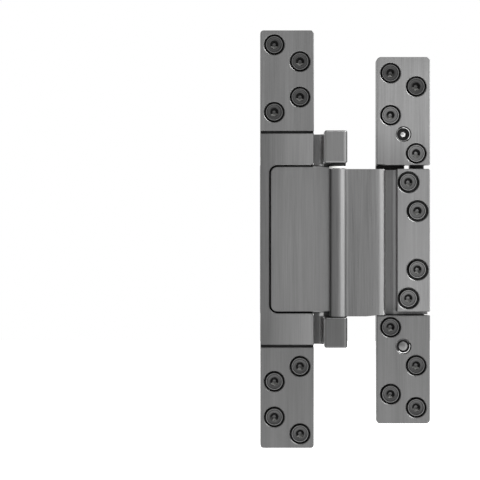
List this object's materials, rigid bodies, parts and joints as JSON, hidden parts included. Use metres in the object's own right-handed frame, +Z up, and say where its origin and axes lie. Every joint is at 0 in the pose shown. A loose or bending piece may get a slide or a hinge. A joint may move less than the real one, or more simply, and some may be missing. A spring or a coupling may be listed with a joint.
{
  "type": "concealed door hinge",
  "caption": "Heavy concealed door hinge: C-shaped frame leaf with recessed panel and ears, pin, cranked arm with clamp block, and screwed end plates.",
  "frame": {"origin": "middle of the frame body's back face, which sits on the floor of the mortise in the door frame", "axes": "+X from the frame leaf towards the door leaf with the hinge open flat, +Y into the wood, +Z up along the pin; the picture looks along +Y"},
  "size_m": [0.0951, 0.0415, 0.234],
  "materials": {
    "satin_steel": "satin brushed stainless steel",
    "dark_screw": "dark oxidised screw steel",
    "plain_screw": "plain screw steel",
    "bright_pin": "ground bright steel",
    "dark_base": "black oxidised steel",
    "dark_washer": "dark hardened washer",
    "black_spacer": "black plastic",
    "white_plastic": "white slide plastic",
    "bronze": "sintered bronze"
  },
  "bodies": {
    "frame_leaf": {"frame_body": "satin_steel", "frame_upper_plate": "satin_steel", "frame_lower_plate": "satin_steel", "frame_upper_shim": "black_spacer", "frame_lower_shim": "black_spacer", "frame_lap_screws": "plain_screw", "frame_fixing_screws": "dark_screw", "knuckle_leaf": "satin_steel", "knuckle_clamp_screws": "dark_screw", "hinge_pin": "bright_pin", "pin_lock_screws": "dark_screw", "upper_spacer_washer": "dark_washer", "upper_slide_washer": "white_plastic", "lower_slide_washer": "dark_washer"},
    "arm": {"door_arm": "satin_steel", "upper_bush": "bronze", "lower_bush": "bronze"},
    "door_leaf": {"door_clamp_block": "satin_steel", "door_block_screws": "plain_screw", "door_base_plate": "dark_base", "door_upper_plate": "satin_steel", "door_lower_plate": "satin_steel", "door_tongue_screws": "plain_screw", "door_fixing_screws": "dark_screw", "upper_adjuster_screw": "bright_pin", "lower_adjuster_screw": "bright_pin"}
  },
  "joints": [
    {"name": "door_swing", "type": "hinge", "parent": "frame_leaf", "child": "arm", "pos_m": [0.0284, -0.0225, 0], "axis": [0, 0, -1], "range_deg": [0, 180]},
    {"name": "height_setting", "type": "slide", "parent": "arm", "child": "door_leaf", "axis": [0, 0, 1], "range_m": [-0.0021, 0.0003]}
  ]
}
